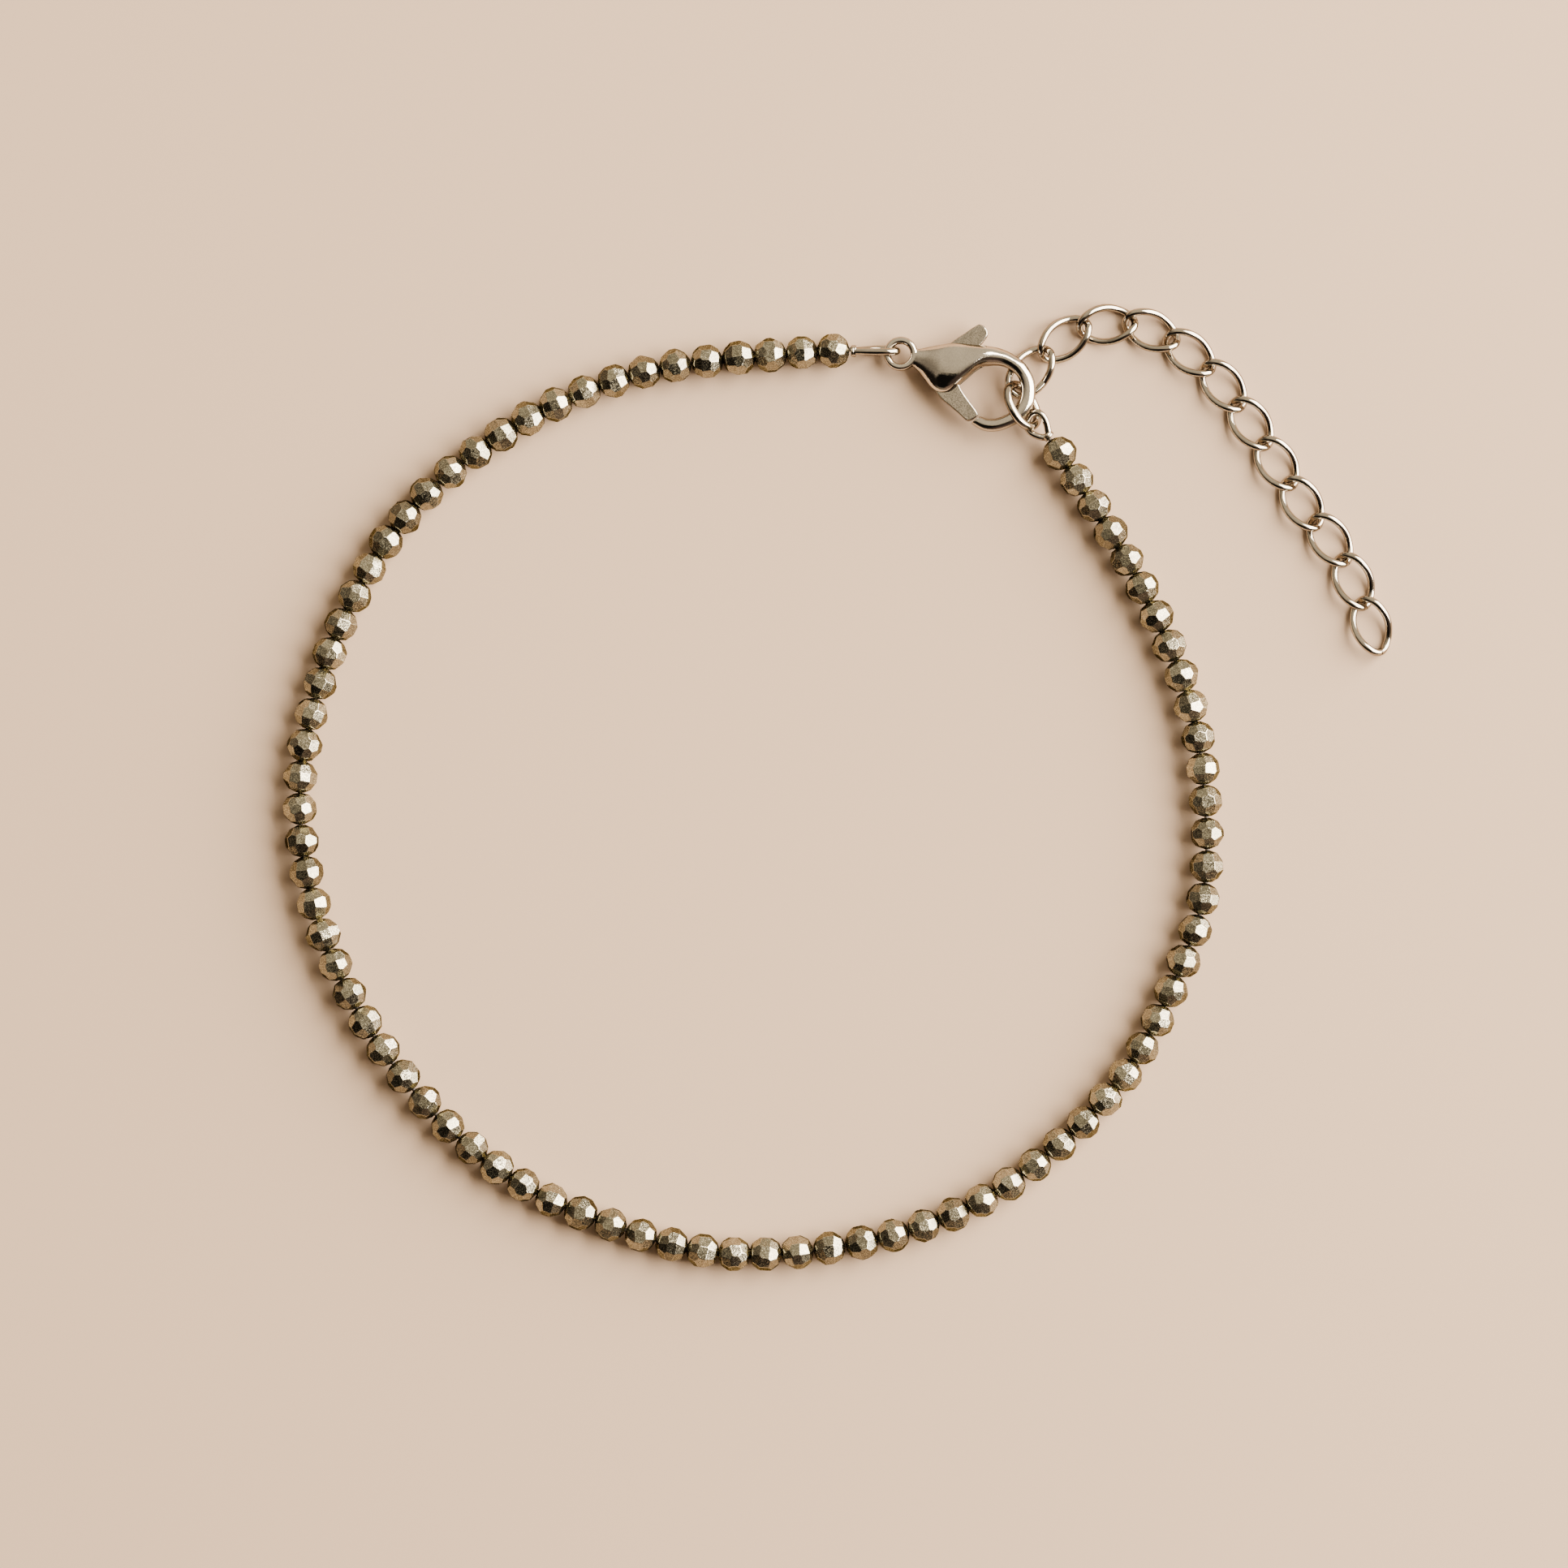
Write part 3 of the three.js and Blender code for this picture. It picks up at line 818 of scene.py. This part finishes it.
# inner edge u and v, outer edge u and v, half thickness and squareness, from the eye to the hook's tip
bodySections = [
    (1.2, -0.45, 0.95, 0.8, 0.42, 2.2),
    (2.08, -0.82, 1.71, 1.33, 0.72, 2.15),
    (2.88, -1.36, 2.83, 2.2, 1.15, 2.15),
    (3.54, -1.67, 3.42, 2.55, 1.38, 2.15),
    (4.2, -1.76, 4.1, 2.87, 1.45, 2.15),
    (5.02, -1.4, 5.2, 3.24, 1.45, 2.15),
    (5.7, -0.2, 5.96, 3.49, 1.36, 2.1),
    (6.42, 1.31, 6.62, 3.68, 1.16, 2.05),
    (7.19, 2.07, 7.3, 3.77, 0.95, 2.0),
    (8.3, 2.5, 8.4, 3.79, 0.74, 2.0),
    (9.5, 2.31, 9.9, 3.43, 0.62, 2.0),
    (10.3, 1.57, 11.24, 2.33, 0.58, 2.0),
    (10.55, 0.45, 11.88, 0.58, 0.56, 2.0),
    (10.28, -0.82, 11.52, -1.0, 0.56, 2.0),
    (9.6, -1.62, 10.27, -2.46, 0.56, 2.0),
    (8.86, -2.0, 9.03, -3.04, 0.56, 2.0),
    (8.2, -2.08, 7.75, -2.95, 0.52, 2.2),
]
# the slot's ends run out along the casting's rims, so that no step shows from above
slotOutline = [
    (1.9, -0.74), (1.9, -2.6), (7.1, -2.6), (7.1, 0.5), (7.55, 2.15), (6.45, 1.8), (6.3, 3.47), (7.3, 3.77),
    (7.3, 4.4), (1.75, 4.4), (1.75, 1.37), (2.9, 2.09), (2.85, 1.6), (2.8, 0.9), (2.8, -0.3), (2.85, -0.8),
    (3.2, -1.36),
]
lever = {
    "thickness": 0.84,
    "outlineSteps": 5,
    "bevel": 0.27,
    "bevelSteps": 4,
    "bevelFrom": 60,  # degrees between two faces
    "hole": 0.5,
    "holeSides": 40,
    "holeHalf": 2,
}
leverOutline = [
    (3.4, -0.5), (3.9, -1.55), (4.6, -2.05), (5.5, -2.32), (6.45, -2.6), (7.42, -2.86), (7.97, -2.2),
    (7.82, -1.86), (6.6, -1.16), (5.6, -0.45), (5.2, 0.5), (5.3, 1.6), (5.82, 3.4), (6.01, 4.2), (5.9, 4.6),
    (5.58, 4.85), (5.2, 4.92), (4.87, 4.76), (4.3, 3.87), (3.7, 2.9), (3.15, 1.8), (3.05, 0.8),
]
claspPlace = Matrix.Translation(clasp["place"]) @ straightTurn((0, -clasp["lift"], clasp["turn"]))


def superRing(middle, across, upward, square, sides):
    # a section that is an ellipse at square 2 and a box with soft corners above it
    points = []
    for k in range(sides):
        angle = k / sides * 2 * math.pi
        c, s = (math.copysign(abs(v) ** (2 / square), v) for v in (math.cos(angle), math.sin(angle)))
        points.append(middle + across * c + upward * s)
    return points


def claspBlank():
    rings = []
    steps = clasp["loftSteps"]
    for k in range(steps * (len(bodySections) - 1) + 1):
        iu, iv, ou, ov, half, square = splineAt(bodySections, k / steps)
        inner, outer = Vector((iu, iv, 0)), Vector((ou, ov, 0))
        middle, across = (inner + outer) / 2, (outer - inner) / 2
        rings.append(superRing(middle, across, Vector((0, 0, half)), square, clasp["loftSides"]))
    return addPiece("claspBlank", loftMesh("claspBlank", rings))


def eyeBlank():
    middle = (clasp["eyeOuter"] + clasp["eyeInner"]) / 2
    wall = (clasp["eyeOuter"] - clasp["eyeInner"]) / 2
    upward = Vector((0, 0, clasp["eyeHalf"]))
    turns, sides = clasp["eyeTurns"], clasp["eyeSides"]
    points, faces = [], []
    for turn in range(turns):
        angle = turn / turns * 2 * math.pi
        out = Vector((math.cos(angle), math.sin(angle), 0))
        points += superRing(out * middle, out * wall, upward, clasp["eyeSquare"], sides)
        for k in range(sides):
            a, b = turn * sides + k, turn * sides + (k + 1) % sides
            c, d = (a + sides) % (turns * sides), (b + sides) % (turns * sides)
            faces.append((a, c, d, b))
    return addPiece("eyeBlank", meshFrom("eyeBlank", points, faces))


def prism(name, outline, half):
    # an outline given the same thickness to both sides of the clasp's middle plane
    count = len(outline)
    points = [(u, v, z) for z in (-half, half) for u, v in outline]
    faces = [tuple(range(count - 1, -1, -1)), tuple(range(count, 2 * count))]
    faces += [(k, (k + 1) % count, count + (k + 1) % count, count + k) for k in range(count)]
    return addPiece(name, meshFrom(name, points, faces))


def boolean(piece, tool, operation):
    modifier = piece.modifiers.new(operation, "BOOLEAN")
    modifier.object = tool
    modifier.operation = operation
    modifier.solver = "EXACT"


def makeClaspBody():
    blank, eye = claspBlank(), eyeBlank()
    slot = prism("slot", slotOutline, clasp["slotHalf"])
    pin = prism("pin", circle(clasp["pin"], clasp["pinRadius"], clasp["pinSides"]), clasp["pinHalf"])
    boolean(blank, eye, "UNION")
    boolean(blank, slot, "DIFFERENCE")
    boolean(blank, pin, "UNION")
    melt = blank.modifiers.new("melt", "REMESH")
    melt.mode = "VOXEL"
    melt.voxel_size = clasp["voxel"]
    ease = blank.modifiers.new("ease", "SMOOTH")
    ease.factor = clasp["easeFactor"]
    ease.iterations = clasp["easeRounds"]
    mesh = evaluatedMesh(blank, "claspBody")
    discard(blank, eye, slot, pin)
    mesh.shade_smooth()
    mesh.materials.clear()
    mesh.materials.append(castPlate)
    print("clasp body", len(mesh.polygons), "faces")
    return finishPiece("claspBody", mesh, claspPlace, "anklet", "cast_plate", "clasp_body")


def closedSpline(points, steps):
    # the last three points lead in and the first three lead out, so that the ends meet smoothly
    ring = [*points[-3:], *points, *points[:3]]
    return [tuple(splineAt(ring, 3 + k / steps)) for k in range(steps * len(points))]


def makeLever():
    outline = closedSpline(leverOutline, lever["outlineSteps"])
    plate = prism("leverPlate", outline, lever["thickness"] / 2)
    hole = prism("leverHole", circle(clasp["pin"], lever["hole"], lever["holeSides"]), lever["holeHalf"])
    boolean(plate, hole, "DIFFERENCE")
    ease = plate.modifiers.new("ease", "BEVEL")
    ease.width = lever["bevel"]
    ease.segments = lever["bevelSteps"]
    ease.limit_method = "ANGLE"
    ease.angle_limit = math.radians(lever["bevelFrom"])
    ease.harden_normals = True
    plate.data.shade_smooth()
    mesh = evaluatedMesh(plate, "claspLever")
    discard(plate, hole)
    mesh.materials.clear()
    mesh.materials.append(leverPlate)
    return finishPiece("claspLever", mesh, claspPlace, "lever", "cast_plate", "clasp_lever")


grainGroup = buildGrainGroup()
stone = beadMaterial(stoneLook)
castPlate = plateMaterial("castPlate", castLook)
leverPlate = plateMaterial("leverPlate", leverLook)
wirePlate = plateMaterial("wirePlate", wireLook)
cordFinish = threadMaterial()
print("materials ready")
makeBeads()
print("beads strung")
wire = wireTree()
makeThread(wire)
makeEndLoop("clampLoop", "clamp_loop", clampLoop, wire)
makeEndLoop("farLoop", "far_loop", farLoop, wire)
makeJumpRing(wire)
print("wire loops bent")
links = linkTree()
linkNodes = sorted(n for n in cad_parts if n.startswith("chain_link_"))
makeLinks("firstLink", linkPlaces[:1], chain["firstHeight"], chain["firstPitch"], 0, links, linkNodes[:1])
makeLinks("chainLinks", linkPlaces[1:], chain["height"], 0, chain["twist"], links, linkNodes[1:])
print("chain linked")
makeClaspBody()
makeLever()
print("clasp ready")


photo = {
    "pixels": 1932,
    "mmPerPixel": 0.068,
    "middle": (-4.485, 0.297),  # what the middle of the photo looks at
    "cameraHeight": 500,
    "sensor": 36,
    "clipStart": 0.01,  # in metres
}
studio = {
    "floor": (0.43, 0.3, 0.2, 1),
    "floorSize": 1.6,
    "floorRough": 0.9,
    "floorShine": 0.1,
    "key": {
        "azimuth": 18, "elevation": 31, "distance": 0.8, "size": (0.95, 0.95), "power": 72,
        "color": (1.0, 0.93, 0.84),
    },
    # tones of the room by elevation, straight down to straight up
    "room": [(0.0, (0.2, 0.15, 0.11, 1)), (0.5, (0.2, 0.155, 0.115, 1)), (1.0, (0.5, 0.43, 0.33, 1))],
    # soft patches of it: azimuth, elevation, full and outer radius in degrees, and tone
    "patches": [
        (75, 42, 38, 66, (1.05, 0.9, 0.66, 1)),
        (-110, 47, 27, 36, (0.01, 0.009, 0.008, 1)),
        (-155, 14, 18, 36, (0.02, 0.016, 0.013, 1)),
        (-62, 38, 12, 30, (0.09, 0.06, 0.048, 1)),
        (-82, 8, 8, 24, (0.36, 0.24, 0.18, 1)),
    ],
}


def makeFloor():
    half = studio["floorSize"] / 2
    corners = [(-half, -half, 0), (half, -half, 0), (half, half, 0), (-half, half, 0)]
    floor = addPiece("floor", meshFrom("floor", corners, [(0, 1, 2, 3)]))
    material, tree, shader = newMaterial("paleFloor")
    shader.inputs["Base Color"].default_value = studio["floor"]
    shader.inputs["Roughness"].default_value = studio["floorRough"]
    shader.inputs["Specular IOR Level"].default_value = studio["floorShine"]
    floor.data.materials.append(material)


def toward(azimuth, elevation):
    a, e = math.radians(azimuth), math.radians(elevation)
    return Vector((math.cos(a) * math.cos(e), math.sin(a) * math.cos(e), math.sin(e)))


def makeLight(name, light):
    lamp = bpy.data.lights.new(name, "AREA")
    lamp.shape = "RECTANGLE"
    lamp.size, lamp.size_y = light["size"]
    lamp.energy = light["power"]
    lamp.color = light["color"]
    piece = addPiece(name, lamp)
    aim = toward(light["azimuth"], light["elevation"])
    piece.location = aim * light["distance"]
    piece.rotation_euler = aim.to_track_quat("Z", "Y").to_euler()


def makeRoom():
    # what the metal mirrors: a plain room with a bright side and a dark one
    world = bpy.data.worlds.new("room")
    world.use_nodes = True
    bpy.context.scene.world = world
    tree = world.node_tree
    link = tree.links.new
    where = addNode(tree, "ShaderNodeTexCoord", (-1400, 0))
    parts = addNode(tree, "ShaderNodeSeparateXYZ", (-1200, 200))
    link(where.outputs["Generated"], parts.inputs[0])
    # 0 straight down and 1 straight up
    height = mathNode(tree, (-1000, 200), "MULTIPLY_ADD", parts.outputs["Z"], 0.5, 0.5)
    tones = ramp(tree, (-800, 200), studio["room"])
    link(height, tones.inputs[0])
    color = tones.outputs[0]
    for k, (azimuth, elevation, full, outer, tone) in enumerate(studio["patches"]):
        near = addNode(tree, "ShaderNodeVectorMath", (-1000, -200 * k - 100), operation="DOT_PRODUCT")
        near.inputs[1].default_value = toward(azimuth, elevation)
        link(where.outputs["Generated"], near.inputs[0])
        amount = addNode(tree, "ShaderNodeMapRange", (-800, -200 * k - 100), interpolation_type="SMOOTHSTEP")
        amount.inputs["From Min"].default_value = math.cos(math.radians(outer))
        amount.inputs["From Max"].default_value = math.cos(math.radians(full))
        link(near.outputs["Value"], amount.inputs["Value"])
        color = mixColor(tree, (-500 + 180 * k, -100), amount.outputs[0], color, tone)
    link(color, tree.nodes["Background"].inputs["Color"])


def makeCamera():
    camera = bpy.data.cameras.new("photoCamera")
    view = photo["pixels"] * photo["mmPerPixel"]
    camera.sensor_width = photo["sensor"]
    camera.lens = camera.sensor_width * photo["cameraHeight"] / view
    camera.clip_start = photo["clipStart"]
    piece = addPiece("photoCamera", camera)
    piece.location = toMetres @ Vector((*photo["middle"], photo["cameraHeight"]))
    bpy.context.scene.camera = piece


makeFloor()
makeLight("keyLight", studio["key"])
makeRoom()
makeCamera()
print("studio set")
